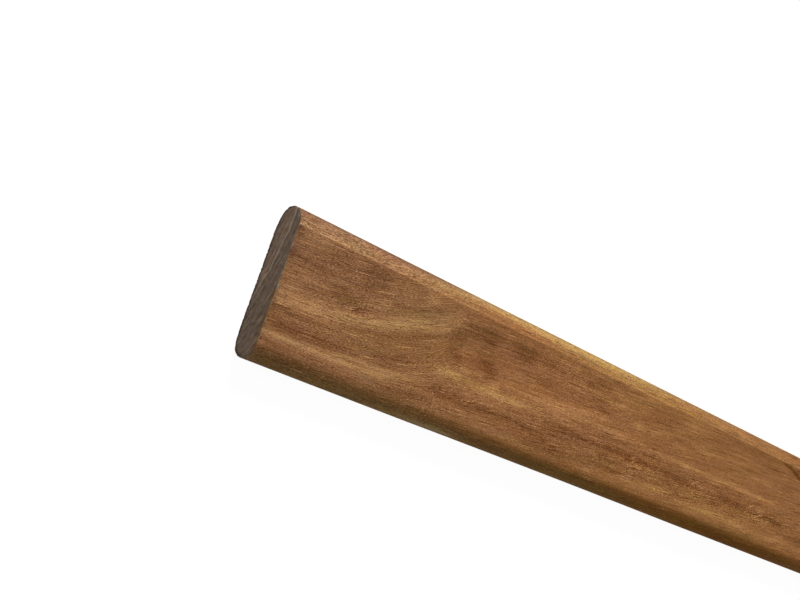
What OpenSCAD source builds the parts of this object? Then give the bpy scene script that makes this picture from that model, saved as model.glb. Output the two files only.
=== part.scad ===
// Planed hardwood fence board with rounded edges.
// The board lies flat: length along X, width along Y, thickness up Z.
// The origin is in the middle of the back face.

/* [Board] */
// Length of the board, along its grain
board_length = 1800; // [300:50:4800]
// Planed width of the board, edge to edge
board_width = 90; // [40:1:240]
// Planed thickness of the board, back face to front face
board_thickness = 21; // [12:0.5:50]

/* [Edges] */
// Radius of the cutter that rounds the four long arrises
edge_radius = 10; // [1:0.5:20]

/* [Hidden] */
// Largest share of the thickness or the width that one rounding may take
round_share = 0.49;
// Radius that the rounding really has, once the stock limits it
arris_radius = min(edge_radius, round_share * board_thickness, round_share * board_width);
// Sides of the full circle that each rounding is a quarter of
round_sides = 96;

// Cross-section of the board, width along X and thickness along Y, standing on its back face.
// Two crossed strips and a full circle in each corner leave every rounding tangent
// to the face and to the flat land in the middle of the edge.
module moulded_section() {
    face_width = board_width - 2 * arris_radius;
    edge_land = board_thickness - 2 * arris_radius;
    translate([0, board_thickness / 2]) {
        square([face_width, board_thickness], center = true);
        square([board_width, edge_land], center = true);
        for (side = [-1, 1], level = [-1, 1])
            translate([side * face_width / 2, level * edge_land / 2])
                circle(r = arris_radius, $fn = round_sides);
    }
}

// One length of stock, moulded along its grain and sawn square at both ends.
module board() {
    color("sienna")
        rotate([90, 0, 90])
            linear_extrude(height = board_length, center = true)
                moulded_section();
}

board();
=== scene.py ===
import math
import random

import bmesh
import bpy
import numpy as np
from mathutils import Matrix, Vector, noise


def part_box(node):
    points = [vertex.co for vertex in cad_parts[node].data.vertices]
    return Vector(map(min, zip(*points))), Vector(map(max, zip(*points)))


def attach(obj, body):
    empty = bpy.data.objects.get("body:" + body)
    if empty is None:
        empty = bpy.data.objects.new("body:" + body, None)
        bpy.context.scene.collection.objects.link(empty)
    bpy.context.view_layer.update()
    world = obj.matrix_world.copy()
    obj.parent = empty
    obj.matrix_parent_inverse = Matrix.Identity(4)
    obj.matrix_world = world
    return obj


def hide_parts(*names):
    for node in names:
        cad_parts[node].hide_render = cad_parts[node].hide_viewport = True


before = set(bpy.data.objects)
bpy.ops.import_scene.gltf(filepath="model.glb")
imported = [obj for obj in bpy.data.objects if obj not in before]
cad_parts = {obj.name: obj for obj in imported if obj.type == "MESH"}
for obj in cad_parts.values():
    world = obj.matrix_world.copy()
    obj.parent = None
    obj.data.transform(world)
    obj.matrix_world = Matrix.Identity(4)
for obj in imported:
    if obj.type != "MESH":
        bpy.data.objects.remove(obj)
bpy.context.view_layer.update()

boardLow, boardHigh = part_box("board")
boardSize = boardHigh - boardLow
boardMiddle = (boardLow + boardHigh) / 2
nearEnd = Vector((boardLow.x, boardMiddle.y, boardMiddle.z))
mm = 0.001
print("frame loaded, board", [round(side, 4) for side in boardSize])

cameraPlace = dict(
    offset=(-408.4 * mm, -78.5 * mm, 591.5 * mm),  # from the middle of the near end
    aim=(95.6 * mm, 22 * mm, 0.0),                 # point of the board in the middle of the view
    rollDegrees=100.42,
    lens=58.5,
    sensor=36.0,
    nearClip=10 * mm,
)


def placeCamera(place):
    camera = bpy.data.cameras.new("boardCamera")
    camera.lens = place["lens"]
    camera.sensor_width = place["sensor"]
    camera.clip_start = place["nearClip"]
    holder = bpy.data.objects.new("boardCamera", camera)
    bpy.context.scene.collection.objects.link(holder)
    holder.location = nearEnd + Vector(place["offset"])
    sight = nearEnd + Vector(place["aim"]) - holder.location
    holder.rotation_euler = sight.to_track_quat("-Z", "Y").to_euler()
    holder.rotation_euler.rotate_axis("Z", math.radians(place["rollDegrees"]))
    bpy.context.scene.camera = holder


placeCamera(cameraPlace)
print("camera placed")

boardShape = dict(
    edgeRadius=10 * mm,       # rounding of the four long arrises
    roundSegments=10,
    frontStep=1.0 * mm,       # mesh across the front face
    backStep=3.5 * mm,        # mesh across the back face
    shoulderWidth=0.3 * mm,   # small step left by the moulding cutter along the far arrises
    endRows=(0.5 * mm, 1.5 * mm, 3.0 * mm),   # rows of mesh beside each sawn end
    fineLength=600 * mm,      # the near stretch has the closer mesh
    fineStep=2.5 * mm,
    plainStep=8.0 * mm,
    gridStep=0.8 * mm,        # least step of the mesh on the sawn ends
    sharpDegrees=40,          # edges turned further than this stay crisp
    flatFacing=0.99,          # a face that looks up or down this squarely is a flat one
)
weld = 1e-6           # places closer than this are the same
squarely = 0.9        # how far a face must look along an axis to count as facing it


def evenly(low, high, step):
    count = max(1, round((high - low) / step))
    return [low + (high - low) * i / count for i in range(1, count)]


def cutRows(bm, pick, axis, places):
    # cuts the picked faces with planes square to an axis
    normal = Vector([float(i == axis) for i in range(3)])
    for place in places:
        crossed = [f for f in bm.faces if pick(f)
                   and min(v.co[axis] for v in f.verts) < place - weld
                   and max(v.co[axis] for v in f.verts) > place + weld]
        edges = {e for f in crossed for e in f.edges}
        verts = {v for f in crossed for v in f.verts}
        bmesh.ops.bisect_plane(bm, geom=[*crossed, *edges, *verts], dist=weld,
                               plane_co=normal * place, plane_no=normal)


def outlinePlaces(bm, axis, step):
    # where the corners of the sawn end lie along an axis, no closer than a step
    places = sorted({round(v.co[axis], 6) for v in bm.verts})
    kept = [places[0]]
    for place in places[1:]:
        if place - kept[-1] > step:
            kept.append(place)
    return kept[1:]


def longEdges(bm, low, high):
    # edges that run along the board from one place to another
    return [e for e in bm.edges
            if abs(min(v.co.x for v in e.verts) - low) < 10 * weld
            and abs(max(v.co.x for v in e.verts) - high) < 10 * weld]


def buildBoard(shape):
    bm = bmesh.new()
    bmesh.ops.create_cube(bm, size=1.0)
    bmesh.ops.scale(bm, vec=boardSize, verts=bm.verts)
    bmesh.ops.translate(bm, vec=boardMiddle, verts=bm.verts)
    bmesh.ops.bevel(bm, geom=longEdges(bm, boardLow.x, boardHigh.x), offset=shape["edgeRadius"],
                    offset_type="OFFSET", segments=shape["roundSegments"], profile=0.5,
                    affect="EDGES", material=-1)

    flatHalf = boardSize.y / 2 - shape["edgeRadius"]
    shoulder = flatHalf - shape["shoulderWidth"]
    for side, step in ((1, shape["frontStep"]), (-1, shape["backStep"])):
        rows = [*evenly(-flatHalf, flatHalf, step), shoulder]
        cutRows(bm, lambda f: f.normal.z * side > shape["flatFacing"], 1, rows)
    endAcross = outlinePlaces(bm, 1, shape["gridStep"])
    endUp = outlinePlaces(bm, 2, shape["gridStep"])

    breaks = [boardLow.x + row for row in shape["endRows"]]
    breaks += [boardLow.x + shape["fineLength"], boardMiddle.x]
    breaks += [boardHigh.x - row for row in reversed(shape["endRows"])]
    cutRows(bm, lambda f: True, 0, breaks)
    cutRows(bm, lambda f: abs(f.normal.x) > squarely, 1, endAcross)
    cutRows(bm, lambda f: abs(f.normal.x) > squarely, 2, endUp)

    rowsEnd = len(shape["endRows"])
    for i, step in ((rowsEnd - 1, "fineStep"), (rowsEnd, "plainStep"), (rowsEnd + 1, "plainStep")):
        low, high = breaks[i:i + 2]
        bmesh.ops.subdivide_edges(bm, edges=longEdges(bm, low, high), use_grid_fill=True,
                                  cuts=round((high - low) / shape[step]) - 1)
    bmesh.ops.recalc_face_normals(bm, faces=bm.faces)
    for face in bm.faces:
        face.material_index = int(abs(face.normal.x) > squarely)
        face.smooth = True
    mesh = bpy.data.meshes.new("board_wood")
    bm.to_mesh(mesh)
    bm.free()
    mesh.set_sharp_from_angle(angle=math.radians(shape["sharpDegrees"]))
    board = bpy.data.objects.new("board_wood", mesh)
    bpy.context.scene.collection.objects.link(board)
    return board


board = buildBoard(boardShape)
print("board modelled,", len(board.data.vertices), "vertices,", len(board.data.polygons), "faces")

halfLong = boardSize.x / 2 / mm
halfWidth = boardSize.y / 2 / mm
halfThick = boardSize.z / 2 / mm
edgeRadius = boardShape["edgeRadius"] / mm
flatWide = halfWidth - edgeRadius
flatThick = halfThick - edgeRadius
quarterRound = edgeRadius * math.pi / 2
girthHalf = 2 * (flatWide + quarterRound + flatThick)   # half the way round the section
skinDeep = 0.01       # millimetres: what lies no deeper is on the surface


def smoothStep(values, low, high):
    share = np.clip((values - low) / (high - low), 0, 1)
    return share * share * (3 - 2 * share)


def softMark(along, girth, mark):
    # strongest in its middle, fading out along its length and across its width
    markAlong, markRound, halfLength, halfWide, slope, strength = mark
    turn = math.radians(slope)
    farAlong = along - markAlong
    farRound = (girth - markRound + girthHalf) % (2 * girthHalf) - girthHalf
    withGrain = farAlong * math.cos(turn) + farRound * math.sin(turn)
    overGrain = farRound * math.cos(turn) - farAlong * math.sin(turn)
    return strength * np.exp(-np.abs(withGrain / halfLength) ** 3 - (overGrain / halfWide) ** 2)


def gather(spots, marks):
    return sum(softMark(spots["along"], spots["girth"], mark) for mark in marks)


def readPlaces(mesh):
    # millimetres: along from the near end, across, up, way round the section, depth inside it
    place = np.empty(len(mesh.vertices) * 3, dtype=np.float32)
    mesh.vertices.foreach_get("co", place)
    place = (place.reshape(-1, 3).astype(float) - np.array(nearEnd)) / mm
    along, across, up = place.T
    pastFlat = np.abs(across) - flatWide
    turn = np.arctan2(np.maximum(pastFlat, 0), np.maximum(np.abs(up) - flatThick, 1e-9))
    fromFace = np.where(pastFlat > 0, flatWide + edgeRadius * turn, np.abs(across))
    onSide = np.abs(up) <= flatThick
    fromFace = np.where(onSide, girthHalf / 2 - np.abs(up), fromFace)
    girth = np.sign(across) * np.where(up >= 0, fromFace, girthHalf - fromFace)
    corner = np.hypot(np.maximum(pastFlat, 0), np.maximum(np.abs(up) - flatThick, 0))
    inner = np.minimum(np.maximum(pastFlat, np.abs(up) - flatThick), 0)
    depth = edgeRadius - corner - inner
    return dict(along=along, across=across, up=up, girth=girth, depth=depth, turn=turn)


surfaceRelief = dict(
    shoulderDepth=0.18,   # millimetres, as are the other depths, sizes and lengths
    shoulderTurn=50,      # degrees of the rounding over which the shoulder runs out
    grainDepth=0.09,
    grainSize=(30, 1.8),  # along and round
    sawDepth=0.30,
    sawSize=(6, 0.9),     # along and across the saw's marks
    sawTilt=52,           # degrees
    sawHollow=0.25,       # the back of a sawn end is cut this much hollow
    sawSeed=3.1,          # the seeds give the two ends different wear
    frayDepth=0.4,
    fraySize=1.3,
    fraySeed=7.3,
    chipDepth=2.2,        # chips out of the front arris of the sawn ends
    chipSize=5.0,
    chipSeed=2.1,
    frayLength=3.0,       # how far from the end the saw marks, fray and chips reach
    worn=[   # rounder stretches: marks as for the figure below, their strength a depth
        (0, 64, 25, 6.5, 0, 1.15), (0, -66, 25, 7, 0, 0.75), (270, -49, 120, 8, 0, 0.45),
    ],
)


def layNoise(first, second, third=None):
    third = np.zeros(len(first)) if third is None else third
    return np.array([noise.noise(spot) for spot in zip(first, second, third)])


def wearSurface(board, relief):
    # raised grain, cutter shoulder, saw marks, chips and frayed end arris, all cut inwards
    mesh = board.data
    spots = readPlaces(mesh)
    along, girth, depth = spots["along"], spots["girth"], spots["depth"]
    fromEnd = np.minimum(along, boardSize.x / mm - along)
    skin = depth < skinDeep

    size = relief["grainSize"]
    inward = relief["grainDepth"] * (0.5 + 0.5 * layNoise(along / size[0], girth / size[1]))
    rounding = spots["across"] > flatWide - skinDeep
    runOut = np.clip(1 - np.degrees(spots["turn"]) / relief["shoulderTurn"], 0, 1)
    inward += np.where(rounding, relief["shoulderDepth"] * runOut, 0)
    end = np.sign(along - halfLong)
    nearness = 1 - smoothStep(fromEnd, 0, relief["frayLength"])
    fray = np.clip(layNoise(girth / relief["fraySize"], end * relief["fraySeed"]), 0, 1)
    fray *= relief["frayDepth"]
    chips = np.clip(layNoise(girth / relief["chipSize"], end * relief["chipSeed"]), 0, 1)
    chips *= relief["chipDepth"] * smoothStep(spots["up"], 0, halfThick)
    inward = np.where(skin, inward + fray * nearness, 0)

    tilt = math.radians(relief["sawTilt"])
    withSaw = spots["across"] * math.cos(tilt) + spots["up"] * math.sin(tilt)
    overSaw = spots["up"] * math.cos(tilt) - spots["across"] * math.sin(tilt)
    size = relief["sawSize"]
    marks = 0.5 + 0.5 * layNoise(withSaw / size[0], overSaw / size[1], end * relief["sawSeed"])
    hollow = relief["sawHollow"] * (1 - (spots["across"] / halfWidth) ** 2)
    hollow *= smoothStep(-spots["up"], -halfThick, halfThick)
    pull = (relief["sawDepth"] * marks + hollow + np.where(skin, fray + chips, 0)) * nearness

    normals = np.empty(len(along) * 3, dtype=np.float32)
    mesh.vertices.foreach_get("normal", normals)
    normals = normals.reshape(-1, 3)
    outward = normals * [0, 1, 1]
    outward /= np.maximum(np.linalg.norm(outward, axis=1), 1e-6)[:, None]
    places = np.empty(len(along) * 3, dtype=np.float32)
    mesh.vertices.foreach_get("co", places)
    places = places.reshape(-1, 3) - outward * (inward * mm)[:, None]
    across, up = spots["across"], spots["up"]
    pastFlats = [np.sign(across) * np.maximum(np.abs(across) - flatWide, 0),
                 np.sign(up) * np.maximum(np.abs(up) - flatThick, 0)]
    share = gather(spots, relief["worn"]) / edgeRadius
    places[:, 1:] -= np.stack(pastFlats, 1) * share[:, None] * mm
    places[:, 0] -= end * pull * mm
    mesh.vertices.foreach_set("co", places.astype(np.float32).ravel())
    mesh.update()
    return spots


spots = wearSurface(board, surfaceRelief)
print("relief cut")

# Marks in the wood, in millimetres: along from the near end, round from the middle of the
# front, half length, half width, slope in degrees, strength.
# Among them are painted shade, painted highlights and painted light on the roundings, as their lists
# say.
boardFigureAndPaintedLight = dict(
    faceToneAndPaintedLight=[   # lighter and darker streaks, clouds and the crack, outside the far rounding; on the rounding at negative round some marks are painted shade, a painted highlight and painted light, as noted below
        (16, 32, 14, 2.6, 0, 0.14), (36, 26, 8, 7, 0, -0.13), (17, 18, 17, 1.3, 1, -0.17),
        (20, 24, 15, 3.4, 0, -0.06), (18, 15, 18, 3, 0, -0.08), (64, 27, 12, 6, 0, -0.20),
        (60, 18, 12, 2, 4, -0.12), (18, 10, 13, 1.8, 0, 0.12), (45, 9, 8, 4, 10, -0.12),
        (59, 4, 5.5, 1.9, 14, -0.30), (56, 5, 12, 4, 10, -0.10), (72, 14, 8, 4, 24, 0.10),
        (88, 25, 14, 3, 6, 0.09), (112, 29, 7, 5, 0, 0.18), (120, 24, 4, 1.6, 0, -0.24),
        (132, 22, 12, 5, 14, 0.12), (10, -5, 24, 4.5, 0, 0.18), (38, -4, 24, 4, 2, 0.23),
        (64, 0, 20, 3.2, 7, 0.20), (84, 4, 18, 3.4, 13, 0.17), (102, 11, 16, 3.2, 14, 0.18),
        (120, 15, 14, 4, 20, 0.11), (72, -5.5, 26, 1.4, 5, -0.11), (98, 0, 16, 1.8, 14, -0.13),
        (120, 8, 14, 2, 14, -0.13), (16, -12.5, 20, 1.6, 0, -0.18), (56, -12, 18, 1.2, 0, -0.07),
        (84, -15, 12, 1.8, 4, -0.15), (103, -13, 12, 1.6, 12, -0.22), (14, -18, 20, 1.2, 0, -0.10),
        (26, -21, 30, 2.2, 1, -0.27), (62, -20, 12, 1.2, 4, -0.08), (30, -27.5, 34, 2, 0, 0.24),
        (78, -26, 24, 3, 2, 0.25), (104, -22, 22, 2.4, 8, 0.18), (70, -23, 28, 0.8, 3, 0.12),
        (28, -32.5, 30, 1.8, 0, -0.08), (106, -32, 14, 3, 2, -0.16), (122, -29, 12, 2, 8, -0.12),
        (1, 18, 3.5, 3, 0, -0.22), (1, 31, 4, 3, 0, -0.18), (1, -13, 4, 2.5, 0, -0.14),
        (2, -33, 5, 2, 0, -0.12), (141, 15, 7, 4, 16, -0.24), (152, 23, 9, 4, 0, -0.18),
        (170, 25, 13, 3.8, 0, -0.32), (160, 19, 18, 3, 0, -0.14), (203, 25, 14, 3.8, 0, -0.34),
        (203, 19, 14, 3, 0, -0.13), (219, 21, 6, 3, 0, 0.06), (168, 12, 12, 2.4, 0, -0.12),
        (144, 5, 8, 4, -18, -0.20), (174, 5, 12, 4, -14, -0.26), (155, -3, 6, 3.5, -16, 0.16),
        (184, -5, 5, 3.5, -16, 0.14), (144, -8.5, 13, 2.4, 0, 0.32), (186, -9, 26, 2.6, 0, 0.27),
        (222, -9, 20, 2.2, 1, 0.18), (208, -2, 26, 5, 0, 0.15), (250, 0, 30, 4.5, 1, 0.19),
        (262, -6, 16, 2, 0, 0.12), (145, -21, 14, 3, 2, -0.24), (190, -21, 32, 2.4, 0, -0.25),
        (166, -13, 36, 3.2, 0, 0.13), (175, -28, 22, 1.4, 3, 0.08), (232, -21, 16, 2.4, 0, -0.16),
        (210, 12, 30, 1.4, 0, -0.08), (228, 11, 16, 2.4, 0, -0.10), (250, 29, 13, 2.2, 0, 0.14),
        (228, 24, 14, 2.6, 0, -0.14), (196, 33, 44, 1.6, 0, -0.10), (284, 26, 14, 2.8, 10, -0.18),
        (275, 24, 4, 2, 0, -0.12), (278, 20.5, 14, 1.4, 0, 0.12), (250, -13, 26, 1.6, 0, -0.10),
        (284, -13, 30, 2.2, 0, -0.23), (262, -18, 24, 1.8, 0, -0.18), (250, -30, 30, 2.2, 0, -0.23),
        (240, -25, 26, 3, 0, -0.12), (280, -25, 26, 3, 0, -0.07), (318, 26, 28, 5, 4, 0.10),
        (320, 19, 18, 2, 6, 0.08), (284, 5, 26, 2.2, 3, 0.20), (296, 10.5, 8, 1.8, -6, -0.18),
        (308, 17, 12, 1.6, 16, 0.12), (304, -0.5, 30, 1.8, 0, 0.18), (338, 10.5, 8, 2.2, 0, 0.18),
        (365, 13, 16, 1.6, 8, 0.14), (395, 9, 9, 1.2, 4, 0.12), (370, -1, 40, 1.6, 0, 0.16),
        (440, -1, 60, 1.8, 0, 0.16), (510, -1, 40, 1.8, 0, 0.18), (350, -6, 50, 1.1, 0, -0.14),
        (480, -6.5, 70, 1.3, 0, -0.13), (330, -12.5, 26, 2.6, 0, -0.30),
        (368, -12, 20, 1.8, 0, -0.20), (398, -12.5, 16, 3.2, 0, -0.24),
        (424, -14, 26, 1.6, 0, -0.24), (474, -14, 22, 3, 0, -0.24), (520, -14.5, 34, 2, 0, -0.25),
        (352, -17, 26, 1.8, 0, 0.08), (420, -18, 18, 2.2, 0, 0.07), (456, -19.5, 8, 1.6, 0, -0.22),
        (510, -18.5, 22, 2.2, 2, 0.10), (318, -26, 20, 1.6, 0, -0.20), (320, -20, 14, 3, 0, -0.12),
        (352, -22, 20, 1.4, 0, -0.06), (340, -27, 6, 1.2, 0, 0.10), (376, -26, 14, 2.6, 0, 0.22),
        (354, -29, 20, 2, 0, 0.10), (456, -27.5, 44, 2.4, 2, 0.20), (410, -28.5, 8, 1.2, 0, 0.12),
        (402, -24.5, 14, 1.2, 0, -0.09), (520, -29, 40, 2.6, 0, 0.11), (385, -21, 14, 2.6, 0, -0.09),
        (370, 25, 20, 3.4, 4, -0.10), (405, 29, 18, 4, 0, 0.12), (346, 20, 12, 1.6, 4, -0.08),
        (446, 19.5, 7, 1.1, 0, -0.20), (428, 13.5, 14, 2, 6, 0.14), (458, 16, 22, 2.2, 6, 0.10),
        (440, 25, 14, 1.8, 0, -0.10), (486, 31, 46, 4.5, 0, -0.10), (474, 23, 14, 1.4, 0, 0.10),
        (506, 12.5, 16, 1.8, 4, 0.12), (462, 10, 6, 1.2, 0, -0.12), (522, 24.5, 12, 1.4, 0, -0.12),
        (548, 16, 12, 4, 0, -0.10), (538, 32.5, 7, 1.0, -6, -0.40), (548, 31, 8, 1.3, -15, -0.55),
        (558, 28, 7, 1.6, -17, -0.55), (557, 32, 5, 1.6, -5, -0.35), (552, 24, 8, 1.2, 0, -0.08),
        (470, 34.5, 80, 0.8, 0, -0.10), (312, -11, 8, 1.4, 0, 0.10), (352, -10.5, 12, 1.2, 0, 0.18),
        (555, -14, 22, 2.5, 0, -0.25), (235, 33.5, 18, 1, 0, 0.08), (556, -25, 14, 3, 0, 0.14),
        (346, 32.5, 10, 1.6, 0, 0.06), (316, 32, 18, 1.0, 0, -0.12),
        # painted shade: the marks at 900 along, -37.5 round and at 1160 along, -44 round darken the
        # whole rounding at negative round
        (900, -37.5, 980, 3.2, 0, -0.27), (20, -36, 30, 1.4, 0, -0.10),
        (400, -37, 90, 1.6, 0, -0.08), (60, -46, 70, 4.5, 0, 0.14), (136, -47, 44, 4.5, 0, 0.26),
        (250, -47, 40, 4, 0, 0.16), (1160, -44, 760, 5, 0, -0.15), (1, -46, 5, 3, 0, 0.14),
        (1, -34, 3, 1.6, 0, 0.14), (470, -11.5, 24, 2, 0, -0.10), (436, -11, 18, 1.5, 0, -0.09),
        (350, -9, 40, 1.4, 0, -0.06), (50, -11, 50, 1.2, 0, 0.07), (0.5, -9, 2, 3.5, 0, -0.2),
        (9, -10, 6, 1.5, 0, 0.10), (0.5, -28, 2, 6, 0, -0.1), (1, 21, 3.2, 2.5, 0, -0.2),
        (0.5, 34, 3, 1.2, 0, -0.35), (2.5, -33.5, 2.5, 0.9, -14, 0.25), (3, 32, 4, 1.5, 0, -0.15),
        (3, 27.5, 5, 3, 0, -0.11), (1, -2, 3, 4, 0, -0.05), (8, -13, 8, 1.6, 0, -0.12),
        (3, -17.5, 4, 3, 0, -0.08), (8, -37, 22, 1.6, 0, -0.09), (3, -40, 4, 2, 0, -0.1),
        (1.5, -43.5, 3, 2, 0, 0.12), (12, 19, 12, 0.6, 0, -0.14), (55, -10.5, 12, 1, 0, 0.10),
        (92, 6.5, 20, 0.5, 14, 0.12), (96, 11.5, 20, 0.5, 13, 0.12), (112, 10.5, 9, 1.6, 12, 0.10),
        (128, 14, 10, 2, 14, 0.10), (30, -27, 34, 0.9, 0, 0.16), (66, -27, 16, 0.9, 0, 0.10),
        (70, -23, 14, 0.8, 2, 0.10), (66, -25, 14, 0.7, 1, -0.12), (112, -11, 9, 1.2, 0, 0.10),
        (10, 9.5, 9, 1.2, 0, 0.12), (170, -19, 9, 1.1, 0, 0.14), (170, -25, 9, 1.2, 0, -0.14),
        (190, -24, 10, 1.6, 0, -0.11), (150, -33, 9, 1, 0, 0.10), (245, -29, 14, 1.4, 0, 0.08),
        # painted shade: the mark at 145 along, -36.5 round darkens the start of that rounding
        (145, -36.5, 22, 1.8, 0, -0.14), (150, -17, 14, 1.6, 0, -0.08), (181, -34, 7, 1, 0, 0.10),
        (178, 0, 6, 2.5, -14, -0.12), (160, 13, 16, 1.2, 0, -0.07), (218, 23, 5, 1.4, 0, 0.10),
        (370, 19, 6, 1.2, 0, -0.12), (345, -5.5, 7, 0.8, 0, 0.12), (308, 18, 10, 2, 10, 0.08),
        (384, -18, 9, 1.4, 0, -0.08), (415, -8.5, 5, 0.9, 0, -0.14), (415, -5.5, 5, 0.9, 0, 0.12),
        (505, 18, 10, 1.4, 0, 0.08), (488, -11, 14, 1, 0, 0.07), (492, -29, 9, 1.6, 0, 0.08),
        # painted highlight: the mark at 148 along, -46 round; painted light: the mark at 900 along,
        # -61 round lightens the side edge at negative round against its shade
        (465, -21, 5, 1.4, 0, 0.08), (110, -23, 7, 1.2, 8, 0.08), (148, -46, 20, 1.5, 0, 0.50),
        (500, -45, 50, 6, 0, -0.08), (900, -61, 980, 8, 0, 0.55),
    ],
    farEdgeToneAndPaintedLight=[   # the same on the far rounding; the pale line at 35 to 36 round along the arris is a painted highlight, and the dark marks at 45 to 49 round by the far silhouette are painted shade
        (0.5, 41, 2, 2, 0, 0.15), (50, 35, 90, 2.6, 0, 0.17), (20, 35.5, 22, 1.2, 0, 0.12),
        (70, 35.5, 70, 1.0, 0, 0.07), (60, 45, 70, 5, 0, -0.14), (95, 40, 50, 3.2, 0, 0.11),
        (56, 49, 76, 3, 0, -0.30), (34, 42, 8, 1.2, -14, -0.12), (52, 39, 9, 1.0, 8, -0.10),
        (320, 35, 84, 3.0, 0, 0.12), (1110, 35, 700, 2.4, 0, 0.13), (452, 38, 26, 2.6, 0, 0.12),
        (400, 38.5, 60, 3, 0, 0.06), (200, 42.5, 62, 3.6, 0, 0.30), (296, 42.5, 50, 4.6, 0, 0.27),
        (372, 41, 34, 5, 0, 0.10), (40, 41, 26, 1.8, 0, 0.12), (8, 45, 14, 2, 0, -0.12),
        (100, 46, 40, 2, 0, -0.12), (100, 40.5, 28, 1.4, 0, 0.08), (125, 37, 22, 2.6, 0, 0.08),
        (220, 39.5, 22, 1.2, 0, 0.10), (185, 38.5, 16, 1.2, 0, -0.09), (500, 44, 34, 2.6, 0, -0.09),
        (512, 37, 34, 3, 0, 0.07), (1130, 45, 700, 7, 0, -0.12), (375, 40, 26, 1.5, 0, -0.08),
        (235, 40, 16, 1, 0, 0.10), (205, 41, 8, 1, 0, -0.10), (190, 36.5, 14, 1.2, 0, 0.05),
        (330, 34.5, 18, 0.8, 0, 0.10), (46, 37.5, 12, 1.5, 0, 0.08), (70, 41.5, 10, 1, 0, -0.12),
        (45, 40.5, 7, 0.7, -14, -0.16), (26, 36, 9, 0.8, 0, 0.16), (40, 35.5, 10, 0.7, 0, 0.10),
        (52, 39, 4, 0.7, 0, -0.14), (64, 41, 6, 0.8, 0, 0.14), (82, 35, 8, 0.8, 0, 0.14),
        (22, 41, 7, 0.8, 0, 0.10), (40, 44, 9, 1.5, 0, 0.10), (552, 43.5, 12, 2.5, 0, -0.30),
    ],
    gold=[   # how golden the wood is
        (0, 0, 2.5, 40, 0, 0.6), (40, 0, 100, 60, 0, 0.20), (118, 15, 28, 7, 15, 0.35),
        (76, 2, 30, 4, 11, 0.2), (96, 25, 30, 8, 0, 0.18), (45, -27, 60, 3, 2, 0.15),
        (108, -21, 22, 3, 9, 0.15), (44, -3, 44, 3, 4, 0.15), (186, -9, 50, 3, 0, 0.25),
        (150, -8, 18, 2.5, 0, 0.35), (14, 31, 14, 4, 0, 0.2), (170, 25, 16, 4, 0, 0.2),
        (203, 24, 15, 4, 0, 0.2), (360, -19, 26, 3, 0, 0.15), (420, -19, 24, 3, 0, 0.15),
        (508, -19, 24, 3, 0, 0.15), (375, -27, 30, 3, 0, 0.2), (450, -27, 40, 3, 0, 0.2),
        (50, 45, 80, 6, 0, 0.55), (122, 40, 24, 3, 0, 0.45), (196, 45.5, 90, 4, 0, 1.9),
        (290, 45, 70, 6, 0, 1.8), (400, 44, 60, 7, 0, 0.3), (1100, 43, 620, 7, 0, 0.5),
        (80, -45, 220, 9, 0, 1.0), (400, -40, 140, 5, 0, 0.2), (350, 45, 200, 2.5, 0, 0.5),
        (300, -44.5, 60, 3, 0, 0.6), (270, -40, 60, 3, 0, 0.5), (480, -35.5, 50, 2.5, 0, 0.6),
        (45, 37.5, 14, 2.5, 0, 0.35),
    ],
    greyAndPaintedLight=[   # weathered, or where negative, deeper brown; the deeper olive brown along the rounding at negative round is painted shade, and the strong pale mark at 148 along, -46 round is a painted highlight
        (20, 43, 56, 7, 0, 0.62), (80, 44, 50, 5, 0, 0.5), (165, 46, 60, 4, 0, 0.25),
        # painted shade: the mark at 1100 along, -43 round turns the rounding at negative round
        # deeper and olive
        (400, 46, 120, 6, 0, 0.15), (1100, -43, 860, 8, 0, -1.0), (0, -45, 6, 8, 0, 0.6),
        (0, 20, 3, 16, 0, 0.3), (0, -28, 2.5, 6, 0, 0.4), (0, -9, 2.5, 3.5, 0, 0.6),
        # painted highlight: the mark at 148 along, -46 round
        (1, 21, 3.2, 2.5, 0, 0.8), (0.5, 34, 3, 1.2, 0, 0.8), (148, -46, 20, 1.5, 0, 1.5),
        (500, -44, 60, 8, 0, -0.5), (40, 20, 80, 20, 0, 0.20), (170, 22, 70, 14, 0, 0.18),
        (190, -20, 120, 12, 0, 0.14), (120, -33, 120, 5, 0, 0.2), (430, 24, 120, 14, 0, -0.10),
        (440, -22, 120, 8, 0, -0.12), (440, 4, 120, 6, 0, -0.06), (270, -6, 60, 10, 0, 0.08),
        (250, 41, 20, 3, 0, 0.2), (110, 43.5, 60, 2.5, 0, 0.3), (370, 36, 40, 5, 0, -0.18),
        (165, -45, 100, 3.5, 0, 0.5), (145, -40, 60, 3, 0, 0.15), (410, -40, 60, 4, 0, -0.25),
        (400, -44, 50, 3, 0, -0.25), (490, -45, 40, 3.5, 0, -0.5), (350, -36, 30, 2, 0, -0.15),
        (480, -35.5, 50, 2.5, 0, 0.25), (350, 45, 200, 2.5, 0, 0.12), (48, 38, 20, 4, 0, -0.25),
        (550, 30, 14, 1.6, -14, -0.8),
    ],
    red=[   # how red the wood is
        (40, -32, 60, 3, 0, 0.5), (26, -20, 34, 4, 0, 0.5), (105, -13, 22, 4, 12, 0.4),
        (190, 36.5, 46, 2.2, 0, 0.8), (170, 5, 24, 5, 0, 0.5), (145, -21, 18, 4, 0, 0.4),
        (300, 8, 70, 6, 0, 0.3), (330, -12, 60, 4, 0, 0.4), (470, -13, 90, 4, 0, 0.4),
        (36, 24, 8, 9, 0, 0.3), (508, 12, 14, 3, 0, 0.5), (550, 40, 40, 5, 0, 0.4),
        (60, 4, 8, 3, 10, 0.4), (56, 42, 8, 3, -10, 0.5), (300, 0, 70, 9, 0, 0.3),
        (440, 0, 90, 9, 0, 0.2), (225, 5, 60, 24, 0, 0.6), (485, -44.5, 40, 4, 0, 1.0),
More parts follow.
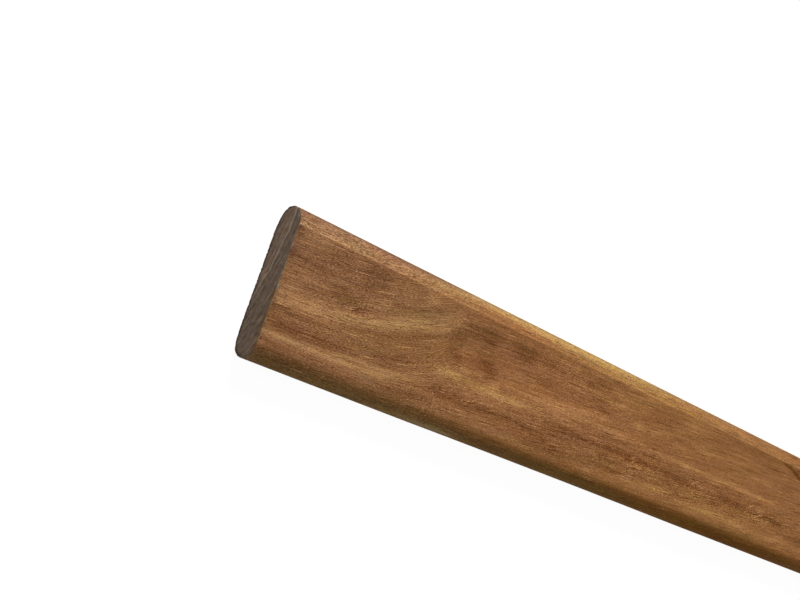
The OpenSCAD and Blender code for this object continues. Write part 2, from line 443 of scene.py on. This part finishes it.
        (20, -8, 40, 7, 0, 0.5), (75, -4, 22, 8, 10, 0.4), (72, 41, 16, 2, 0, 1.0),
        (100, 43.5, 30, 1.5, 0, 0.8), (550, 30, 14, 1.6, -14, 0.5), (552, 43.5, 12, 2.5, 0, 0.8),
    ],
    sheenFlecks=[   # where short pale flecks show: a painted sheen in the dark streaks
        (356, -13, 22, 5, 0, 1.0), (428, -14, 26, 5, 0, 1.0), (518, -13, 26, 5, 0, 1.0),
        (375, -27, 26, 2, 0, 0.4), (345, 11, 14, 2, 0, 0.3), (422, 12, 14, 2, 0, 0.3),
        (142, -5, 12, 4, 0, 0.6), (165, -20, 26, 3, 0, 0.7), (200, 0, 40, 30, 0, 0.15),
    ],
    grit=[   # rougher and smoother stretches
        (55, 22, 70, 15, 0, 0.25), (48, 2, 28, 7, 0, 0.3), (40, -13, 70, 7, 0, 0.35),
        (115, -12, 20, 6, 12, 0.3), (440, -17, 150, 9, 0, 0.4), (270, -17, 60, 9, 0, 0.3),
        (265, 25, 50, 8, 0, 0.45), (165, 13, 30, 6, 0, -0.25), (480, 16, 80, 12, 0, -0.3),
        (110, 40, 30, 4, 0, -0.35), (470, 40, 60, 5, 0, -0.5), (20, 40, 34, 6, 0, 0.3),
        (48, 0, 24, 40, 0, 0.2), (80, 15, 24, 20, 0, 0.12), (410, 20, 34, 7, 0, 0.25),
        (410, -23, 34, 6, 0, 0.25), (485, -18, 24, 9, 0, 0.25), (380, 10, 26, 4, 0, 0.2),
        (125, -31, 44, 4, 0, 0.25), (520, 0, 150, 60, 0, -0.10),
    ],
)

# Soft marks for the rest of the board, drawn at random from a fixed seed
plainFigure = dict(
    seed=11,
    stretches=[   # along from and to, round from and to, how many
        (575, 1800, -34, 34, 190), (0, 1800, 66, 139, 300), (0, 1800, 50, 68, 50),
        (0, 1800, -68, -40, 70), (450, 1800, 36, 52, 40),
    ],
    halfLength=(9, 46),
    halfWidth=(0.9, 3.4),
    slope=(-3, 5),
    strength=(0.05, 0.18),
)


def plainMarks(figure):
    draw = random.Random(figure["seed"])
    marks = []
    for alongFrom, alongTo, roundFrom, roundTo, count in figure["stretches"]:
        for _ in range(count):
            marks.append((draw.uniform(alongFrom, alongTo), draw.uniform(roundFrom, roundTo),
                          draw.uniform(*figure["halfLength"]), draw.uniform(*figure["halfWidth"]),
                          draw.uniform(*figure["slope"]),
                          draw.choice((-1, 1)) * draw.uniform(*figure["strength"])))
    return marks


grainDrift = dict(
    lean=0.05,            # the grain climbs a little all along
    rise=20,              # millimetres that it climbs past the near end
    riseAlong=(30, 137),
    risePower=2.0,
    riseAcross=(-50, 30),
    breakAlong=(131, 143),   # where the climbing grain gives way to straight grain
    breakDepth=2.2,
    knot=(60, 4, 12, 6),  # along, across, half length, half width
    knotPush=2,
    knotSteepness=2,      # how quickly the push turns over at the knot
)


def grainFlow(spots, drift):
    # place of each point as if the grain ran straight
    along, across = spots["along"], spots["across"]
    riseFrom, riseTo = drift["riseAlong"]
    climb = np.clip((along - riseFrom) / (riseTo - riseFrom), 0, 1) ** drift["risePower"]
    rise = drift["lean"] * along + drift["rise"] * climb * smoothStep(across, *drift["riseAcross"])
    knotAlong, knotAcross, knotLength, knotWidth = drift["knot"]
    farAcross = (across - knotAcross) / knotWidth
    knot = np.exp(-((along - knotAlong) / knotLength) ** 2 - farAcross ** 2)
    rise += drift["knotPush"] * knot * np.tanh(drift["knotSteepness"] * farAcross)
    deep = spots["up"] + drift["breakDepth"] * smoothStep(along, *drift["breakAlong"])
    return np.stack([along, across - rise, deep], 1) * mm


surfaceWearAndRimShade = dict(
    grit=0.93,            # contrast of the fine grain
    nearGrit=0.27,        # more of it near the first end, up to where it has faded
    nearGritFades=(110, 170),
    edgeGrit=0.4,         # more of it on the far rounding
    darkGrit=1.2,         # more of it in the dark streaks of the front face
    darkest=0.35,
    weathering=0.32,      # grey at the near end
    weatheringFades=(5, 200),
    paintedRimShadeDepth=(0.4, 2.0),  # painted shade: the dark rim at the back of the sawn ends
    paintedRimShadeUp=(-4, 2),
    stainDown=(5, 2),     # the stained front arris, below the front face
    stainAcross=(-8, 2),
)


def paintFigure(board, spots, figure, plain, wearAndPaintedLight):
    along, girth = spots["along"], spots["girth"]
    pastArris = girth > flatWide - skinDeep
    tone = gather(spots, figure["faceToneAndPaintedLight"])
    tone = np.where(pastArris, gather(spots, figure["farEdgeToneAndPaintedLight"]), tone)
    tone += gather(spots, plainMarks(plain))
    figuredAndPaintedLight = np.stack([tone, gather(spots, figure["gold"]), gather(spots, figure["red"])], 1)
    grit = wearAndPaintedLight["grit"] + wearAndPaintedLight["nearGrit"] * (1 - smoothStep(along, *wearAndPaintedLight["nearGritFades"]))
    grit += np.where(pastArris, wearAndPaintedLight["edgeGrit"], 0)
    grit += gather(spots, figure["grit"])
    grit += wearAndPaintedLight["darkGrit"] * np.clip(-tone, 0, wearAndPaintedLight["darkest"]) * (np.abs(girth) < flatWide)
    greyAndPaintedLight = wearAndPaintedLight["weathering"] * (1 - smoothStep(along, *wearAndPaintedLight["weatheringFades"]))
    greyAndPaintedLight += gather(spots, figure["greyAndPaintedLight"])
    # besides grit and weathering this layer holds painted shade and a painted highlight on the
    # roundings and the painted sheen of the flecks
    worn = np.stack([grit, greyAndPaintedLight, gather(spots, figure["sheenFlecks"])], 1)
    # painted shade: darker along the back rim of the sawn ends
    paintedRimShade = 1 - smoothStep(spots["depth"], *wearAndPaintedLight["paintedRimShadeDepth"])
    paintedRimShade *= 1 - smoothStep(spots["up"], *wearAndPaintedLight["paintedRimShadeUp"])
    stainFrom, stainTo = wearAndPaintedLight["stainDown"]
    stained = smoothStep(spots["up"], halfThick - stainFrom, halfThick - stainTo)
    stained *= 1 - smoothStep(spots["across"], *wearAndPaintedLight["stainAcross"])
    # the figure layer's tone also holds painted shade and highlights on the roundings
    layers = dict(grainFlow=grainFlow(spots, grainDrift), figure=figuredAndPaintedLight, wearAndPaintedLight=worn,
                  sawnRimShadeAndStain=np.stack([paintedRimShade, stained, paintedRimShade * 0], 1))
    for name, values in layers.items():
        layer = board.data.attributes.new(name, "FLOAT_VECTOR", "POINT")
        layer.data.foreach_set("vector", values.astype(np.float32).ravel())


paintFigure(board, spots, boardFigureAndPaintedLight, plainFigure, surfaceWearAndRimShade)
print("figure laid out")

unwrapPlan = dict(
    sideHeight=0.44,      # share of the picture's height for each half of the length
    sideGap=0.01,
    endHeight=0.085,
    endWidth=0.35,
    farEndFrom=0.5,       # where the picture of the far end starts
    margin=0.005,
)


def unwrapBoard(board, spots, plan):
    # the long skin opens along the middle of the back, in two halves, with the ends above
    mesh = board.data
    corner = np.empty(len(mesh.loops), dtype=np.int32)
    mesh.loops.foreach_get("vertex_index", corner)
    count = np.empty(len(mesh.polygons), dtype=np.int32)
    mesh.polygons.foreach_get("loop_total", count)
    centre = np.empty(len(mesh.polygons) * 3, dtype=np.float32)
    mesh.polygons.foreach_get("center", centre)
    centre = np.repeat(centre.reshape(-1, 3), count, axis=0)
    material = np.empty(len(mesh.polygons), dtype=np.int32)
    mesh.polygons.foreach_get("material_index", material)
    onEnd = np.repeat(material, count) == 1

    margin, sideHeight, gap = plan["margin"], plan["sideHeight"], plan["sideGap"]
    second = centre[:, 0] > boardMiddle.x
    girth = np.abs(spots["girth"][corner]) * np.where(centre[:, 1] < boardMiddle.y, -1, 1)
    along = spots["along"][corner] - np.where(second, halfLong, 0)
    u = margin + along / halfLong * (1 - 2 * margin)
    v = margin + (girth / girthHalf + 1) / 2 * sideHeight + np.where(second, sideHeight + gap, 0)
    endU = (spots["across"][corner] / halfWidth + 1) / 2 * plan["endWidth"]
    endU += np.where(second, plan["farEndFrom"], margin)
    endFloor = margin + 2 * (sideHeight + gap)
    endV = endFloor + (spots["up"][corner] / halfThick + 1) / 2 * plan["endHeight"]
    places = np.stack([np.where(onEnd, endU, u), np.where(onEnd, endV, v)], 1)
    layer = mesh.uv_layers.new(name="OFBake")
    layer.data.foreach_set("uv", places.astype(np.float32).ravel())


unwrapBoard(board, spots, unwrapPlan)
print("skin unwrapped")


def newMaterial(name):
    material = bpy.data.materials.new(name)
    material.use_nodes = True
    tree = material.node_tree
    tree.nodes.clear()
    return material, tree


def feed(tree, socket, value):
    if isinstance(value, bpy.types.NodeSocket):
        tree.links.new(value, socket)
    else:
        socket.default_value = value


def calc(tree, operation, first, second=0.0, third=0.0):
    node = tree.nodes.new("ShaderNodeMath")
    node.operation = operation
    for socket, value in zip(node.inputs, (first, second, third)):
        feed(tree, socket, value)
    return node.outputs[0]


def between(tree, value, low, high):
    node = tree.nodes.new("ShaderNodeMapRange")
    node.interpolation_type = "SMOOTHSTEP"
    feed(tree, node.inputs["Value"], value)
    node.inputs["From Min"].default_value = low
    node.inputs["From Max"].default_value = high
    return node.outputs["Result"]


def tint(tree, share, colour, stain):
    # multiplies a colour by a stain, as far as the share says
    node = tree.nodes.new("ShaderNodeMix")
    node.data_type = "RGBA"
    node.blend_type = "MULTIPLY"
    feed(tree, node.inputs[0], share)
    feed(tree, node.inputs[6], colour)
    node.inputs[7].default_value = (*stain, 1)
    return node.outputs[2]


def attributeVector(tree, name):
    node = tree.nodes.new("ShaderNodeAttribute")
    node.attribute_name = name
    return node.outputs["Vector"]


def parts(tree, vector):
    node = tree.nodes.new("ShaderNodeSeparateXYZ")
    tree.links.new(vector, node.inputs[0])
    return node.outputs


def grainNoise(tree, place, layer):
    # noise around zero, its features as long, wide and deep as the layer says in millimetres
    spin = tree.nodes.new("ShaderNodeMapping")
    spin.inputs["Rotation"].default_value = (0, 0, math.radians(-layer.get("turn", 0)))
    feed(tree, spin.inputs["Vector"], place)
    stretch = tree.nodes.new("ShaderNodeMapping")
    stretch.inputs["Scale"].default_value = [1 / (size * mm) for size in layer["sizes"]]
    stretch.inputs["Location"].default_value = layer.get("shift", (0, 0, 0))
    tree.links.new(spin.outputs[0], stretch.inputs["Vector"])
    node = tree.nodes.new("ShaderNodeTexNoise")
    node.inputs["Scale"].default_value = 1.0
    node.inputs["Detail"].default_value = layer.get("detail", 1.0)
    tree.links.new(stretch.outputs[0], node.inputs["Vector"])
    gain = layer.get("gain", 1.0)
    return calc(tree, "MULTIPLY_ADD", node.outputs[0], gain, -gain / 2)


def toneColour(tree, tone, tones):
    node = tree.nodes.new("ShaderNodeValToRGB")
    stops = node.color_ramp.elements
    while len(stops) < len(tones):
        stops.new(0.5)
    for stop, (position, colour) in zip(stops, tones):
        stop.position = position
        stop.color = (*colour, 1)
    feed(tree, node.inputs[0], tone)
    return node.outputs[0]


def finishWood(tree, colour, height, look):
    shader = tree.nodes.new("ShaderNodeBsdfPrincipled")
    output = tree.nodes.new("ShaderNodeOutputMaterial")
    bump = tree.nodes.new("ShaderNodeBump")
    bump.inputs["Distance"].default_value = look["bumpDepth"]
    feed(tree, bump.inputs["Height"], height)
    feed(tree, shader.inputs["Base Color"], colour)
    shader.inputs["Roughness"].default_value = look["roughness"]
    shader.inputs["Specular IOR Level"].default_value = look["gloss"]
    tree.links.new(bump.outputs[0], shader.inputs["Normal"])
    tree.links.new(shader.outputs[0], output.inputs["Surface"])


planedLook = dict(
    middleTone=0.52,
    tones=[   # share of the way from the darkest wood to the lightest, and its colour
        (0.00, (0.113, 0.041, 0.011)), (0.20, (0.162, 0.064, 0.019)), (0.40, (0.219, 0.093, 0.032)),
        (0.50, (0.257, 0.112, 0.039)), (0.60, (0.297, 0.136, 0.051)), (0.75, (0.375, 0.179, 0.064)),
        (1.00, (0.535, 0.292, 0.103)),
    ],
    fibres=dict(sizes=(1.7, 0.42, 0.42), gain=1.0),
    hairs=[
        dict(sizes=(20, 0.5, 0.5), gain=0.32),
        dict(sizes=(48, 0.9, 0.9), gain=0.26),
    ],
    lines=[   # pores and single hairs: where the noise passes the range the tone shifts by the step
        dict(sizes=(4.5, 0.6, 0.6), shift=(2, 5, 3), range=(0.06, 0.26), step=-0.22),
        dict(sizes=(16, 0.5, 0.5), shift=(6, 1, 4), range=(0.10, 0.24), step=-0.34),
        dict(sizes=(22, 0.55, 0.55), shift=(1, 8, 2), range=(0.11, 0.25), step=0.32),
    ],
    broad=[   # streaks and clouds
        dict(sizes=(60, 1.8, 1.8), gain=0.18),
        dict(sizes=(110, 3.5, 3.5), gain=0.10),
        dict(sizes=(22, 6, 6), gain=0.07),
    ],
    # painted sheen: short pale flecks in the dark streaks
    sheenFleck=dict(sizes=(5.5, 0.9, 0.9), turn=16),
    sheenFleckRange=(0.09, 0.24),
    sheenFleckGain=1.15,
    stainNoise=dict(sizes=(60, 4, 4), shift=(3, 7, 1)),
    hueNoise=dict(sizes=(18, 2.2, 2.2), shift=(9, 3, 5), gain=0.7),
    stainRange=(0.02, 0.5),
    redStain=(1.04, 0.965, 0.98),
    goldStain=(0.90, 1.06, 0.92),
    greyStainAndHighlight=(0.95, 1.0, 1.6),
    # deeper brown where the weathering value is negative: wood tone on the face, painted shade along
    # the rounding at negative round
    deepStainAndShade=(1.0, 0.98, 0.5),
    bumpDepth=0.22 * mm,
    roughness=0.7,
    gloss=0.03,
)


def planedWood(look):
    material, tree = newMaterial("planedHardwood")
    flow = attributeVector(tree, "grainFlow")
    markToneAndPaintedLight, markGold, markRed = parts(tree, attributeVector(tree, "figure"))
    grit, greyAndPaintedLight, sheenFleckShare = parts(tree, attributeVector(tree, "wearAndPaintedLight"))

    # the marks' tone holds painted shade and highlights on the roundings as well as the wood's
    # figure
    tone = calc(tree, "ADD", markToneAndPaintedLight, look["middleTone"])
    for layer in [*look["broad"], *look["hairs"]]:
        tone = calc(tree, "ADD", tone, grainNoise(tree, flow, layer))
    tone = calc(tree, "MULTIPLY_ADD", grainNoise(tree, flow, look["fibres"]), grit, tone)
    for layer in look["lines"]:
        line = between(tree, grainNoise(tree, flow, layer), *layer["range"])
        tone = calc(tree, "MULTIPLY_ADD", line, calc(tree, "MULTIPLY", grit, layer["step"]), tone)
    # painted sheen: pale flecks where the marks ask for them
    sheenFleck = between(tree, grainNoise(tree, flow, look["sheenFleck"]), *look["sheenFleckRange"])
    sheenFleck = calc(tree, "MULTIPLY", sheenFleck, calc(tree, "MULTIPLY", sheenFleckShare, look["sheenFleckGain"]))
    tone = calc(tree, "ADD", tone, sheenFleck)

    stain = grainNoise(tree, flow, look["stainNoise"])
    otherStain = calc(tree, "MULTIPLY", stain, -1.0)
    red = calc(tree, "ADD", markRed, between(tree, stain, *look["stainRange"]))
    gold = calc(tree, "ADD", markGold, between(tree, otherStain, *look["stainRange"]))
    greyAndPaintedLight = calc(tree, "ADD", greyAndPaintedLight, grainNoise(tree, flow, look["hueNoise"]))
    colour = toneColour(tree, tone, look["tones"])
    colour = tint(tree, red, colour, look["redStain"])
    colour = tint(tree, gold, colour, look["goldStain"])
    # the stain also whitens the painted highlight at 148 along, -46 round
    colour = tint(tree, greyAndPaintedLight, colour, look["greyStainAndHighlight"])
    # painted shade: darker and olive along the rounding at negative round, deeper brown wood
    # elsewhere
    colour = tint(tree, calc(tree, "MULTIPLY", greyAndPaintedLight, -1.0), colour, look["deepStainAndShade"])
    finishWood(tree, colour, tone, look)
    return material


sawnLook = dict(
    heartAcross=47 * mm,   # where the tree's heart lay, from the middle of the section
    heartDeep=-136 * mm,
    sway=dict(sizes=(300, 14, 14), gain=0.004),
    innerWood=(138.0, 140.0),  # millimetres from the heart, where the paler wood ends
    innerGain=0.12,
    ringLine=139.0,        # a pale ring round the paler wood
    lineSpread=1.3,
    lineGain=0.9,
    paintedRimShadeGain=-0.8,          # painted shade along the dark rim at the back
    firstTone=0.09,
    ringGain=0.6,
    tones=[
        (0.0, (0.095, 0.065, 0.045)), (0.1, (0.160, 0.105, 0.070)), (0.45, (0.245, 0.166, 0.114)),
        (0.9, (0.430, 0.305, 0.222)),
    ],
    outerStain=(0.97, 1.0, 1.02),
    arrisStain=(1.0, 0.86, 0.66),
    ringSpacing=3.2,
    ringDetail=2.0,
    ringStretch=0.1,       # draws the speckle out along the rings
    speckle=dict(sizes=(7, 0.8, 7), gain=1.6, detail=2),
    scratch=dict(sizes=(9, 0.6, 9), shift=(4, 2, 7), range=(0.10, 0.24), step=0.30),
    dust=dict(sizes=(2, 3.5, 3.5), gain=0.6),
    bumpDepth=0.3 * mm,
    roughness=0.8,
    gloss=0.1,
)


def sawnWood(look):
    material, tree = newMaterial("sawnEndGrain")
    flow = attributeVector(tree, "grainFlow")
    along, across, deep = parts(tree, flow)
    fromHeartAcross = calc(tree, "SUBTRACT", across, look["heartAcross"])
    fromHeartDeep = calc(tree, "SUBTRACT", deep, look["heartDeep"])
    square = calc(tree, "MULTIPLY", fromHeartAcross, fromHeartAcross)
    square = calc(tree, "MULTIPLY_ADD", fromHeartDeep, fromHeartDeep, square)
    distance = calc(tree, "ADD", calc(tree, "SQRT", square), grainNoise(tree, flow, look["sway"]))
    distance = calc(tree, "MULTIPLY", distance, 1 / mm)

    rings = tree.nodes.new("ShaderNodeTexNoise")
    rings.noise_dimensions = "1D"
    rings.inputs["Scale"].default_value = 1 / look["ringSpacing"]
    rings.inputs["Detail"].default_value = look["ringDetail"]
    feed(tree, rings.inputs["W"], distance)

    turned = tree.nodes.new("ShaderNodeCombineXYZ")
    angle = calc(tree, "ARCTAN2", fromHeartAcross, fromHeartDeep)
    feed(tree, turned.inputs[0], calc(tree, "MULTIPLY", angle, look["ringStretch"]))
    feed(tree, turned.inputs[1], calc(tree, "MULTIPLY", distance, mm))
    feed(tree, turned.inputs[2], along)
    paler = calc(tree, "SUBTRACT", 1.0, between(tree, distance, *look["innerWood"]))
    tone = calc(tree, "MULTIPLY_ADD", rings.outputs[0], look["ringGain"], look["firstTone"])
    tone = calc(tree, "MULTIPLY_ADD", paler, look["innerGain"], tone)
    line = calc(tree, "SUBTRACT", distance, look["ringLine"])
    line = between(tree, calc(tree, "ABSOLUTE", line), 0.0, look["lineSpread"])
    line = calc(tree, "SUBTRACT", 1.0, line)
    tone = calc(tree, "MULTIPLY_ADD", line, look["lineGain"], tone)
    tone = calc(tree, "ADD", tone, grainNoise(tree, turned.outputs[0], look["speckle"]))
    scratch = grainNoise(tree, turned.outputs[0], look["scratch"])
    scratch = between(tree, scratch, *look["scratch"]["range"])
    tone = calc(tree, "MULTIPLY_ADD", scratch, look["scratch"]["step"], tone)
    tone = calc(tree, "ADD", tone, grainNoise(tree, flow, look["dust"]))
    paintedRimShade, stained, _ = parts(tree, attributeVector(tree, "sawnRimShadeAndStain"))
    # painted shade along the back rim of the sawn ends
    tone = calc(tree, "MULTIPLY_ADD", paintedRimShade, look["paintedRimShadeGain"], tone)
    outer = calc(tree, "SUBTRACT", 1.0, paler)
    colour = tint(tree, outer, toneColour(tree, tone, look["tones"]), look["outerStain"])
    colour = tint(tree, stained, colour, look["arrisStain"])
    finishWood(tree, colour, tone, look)
    return material


board.data.materials.append(planedWood(planedLook))
board.data.materials.append(sawnWood(sawnLook))
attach(board, "root")
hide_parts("board")
print("wood finished")

studio = dict(
    floorSize=12.0,
    floorDrop=0.2 * mm,      # keeps the floor clear of the back face
    floorColour=(0.12, 0.12, 0.12),
    floorGlow=0.945,          # seen straight on, it lifts the floor to white
    skyLight=0.38,
    keyDistance=4.0,
    keyTiltDegrees=65.0,     # from straight up
    keyTurnDegrees=18.0,     # from the board's far edge towards its near end
    keyShare=0.62,           # share of a white sheet's light that the key gives the face
    keySize=2.6,
)


def seenRays(tree):
    # 1 for rays that show the surroundings: straight, glossy or through glass
    rays = tree.nodes.new("ShaderNodeLightPath")
    seen = calc(tree, "MAXIMUM", rays.outputs["Is Camera Ray"], rays.outputs["Is Glossy Ray"])
    return calc(tree, "MAXIMUM", seen, rays.outputs["Is Transmission Ray"])


def makeFloor(look):
    material, tree = newMaterial("paleFloor")
    diffuse = tree.nodes.new("ShaderNodeBsdfDiffuse")
    diffuse.inputs["Color"].default_value = (*look["floorColour"], 1)
    glow = tree.nodes.new("ShaderNodeEmission")
    feed(tree, glow.inputs["Strength"], calc(tree, "MULTIPLY", seenRays(tree), look["floorGlow"]))
    both = tree.nodes.new("ShaderNodeAddShader")
    output = tree.nodes.new("ShaderNodeOutputMaterial")
    tree.links.new(diffuse.outputs[0], both.inputs[0])
    tree.links.new(glow.outputs[0], both.inputs[1])
    tree.links.new(both.outputs[0], output.inputs["Surface"])

    bm = bmesh.new()
    bmesh.ops.create_grid(bm, x_segments=1, y_segments=1, size=look["floorSize"] / 2)
    bmesh.ops.translate(bm, vec=(0, 0, boardLow.z - look["floorDrop"]), verts=bm.verts)
    mesh = bpy.data.meshes.new("floor")
    bm.to_mesh(mesh)
    bm.free()
    floor = bpy.data.objects.new("floor", mesh)
    floor.data.materials.append(material)
    bpy.context.scene.collection.objects.link(floor)


def makeSky(look):
    world = bpy.data.worlds.new("studioSky")
    bpy.context.scene.world = world
    world.use_nodes = True
    tree = world.node_tree
    tree.nodes.clear()
    sky = tree.nodes.new("ShaderNodeBackground")
    output = tree.nodes.new("ShaderNodeOutputWorld")
    lift = calc(tree, "MULTIPLY_ADD", seenRays(tree), 1 - look["skyLight"], look["skyLight"])
    feed(tree, sky.inputs["Strength"], lift)
    tree.links.new(sky.outputs[0], output.inputs["Surface"])
    sky.inputs["Color"].default_value = (1, 1, 1, 1)


def makeKeyLamp(look):
    tilt = math.radians(look["keyTiltDegrees"])
    turn = math.radians(look["keyTurnDegrees"])
    level = Vector((-math.sin(turn), math.cos(turn), 0))
    direction = level * math.sin(tilt) + Vector((0, 0, math.cos(tilt)))
    lamp = bpy.data.lights.new("keyLamp", "AREA")
    lamp.shape = "DISK"
    lamp.size = look["keySize"]
    # watts that give the face its share of a white sheet's light
    lamp.energy = look["keyShare"] * math.pi ** 2 * look["keyDistance"] ** 2 / direction.z
    holder = bpy.data.objects.new("keyLamp", lamp)
    bpy.context.scene.collection.objects.link(holder)
    holder.location = boardMiddle + direction * look["keyDistance"]
    holder.rotation_euler = (-direction).to_track_quat("-Z", "Y").to_euler()


makeFloor(studio)
makeSky(studio)
makeKeyLamp(studio)
bpy.context.scene.view_settings.view_transform = "Standard"
print("floor and light ready")
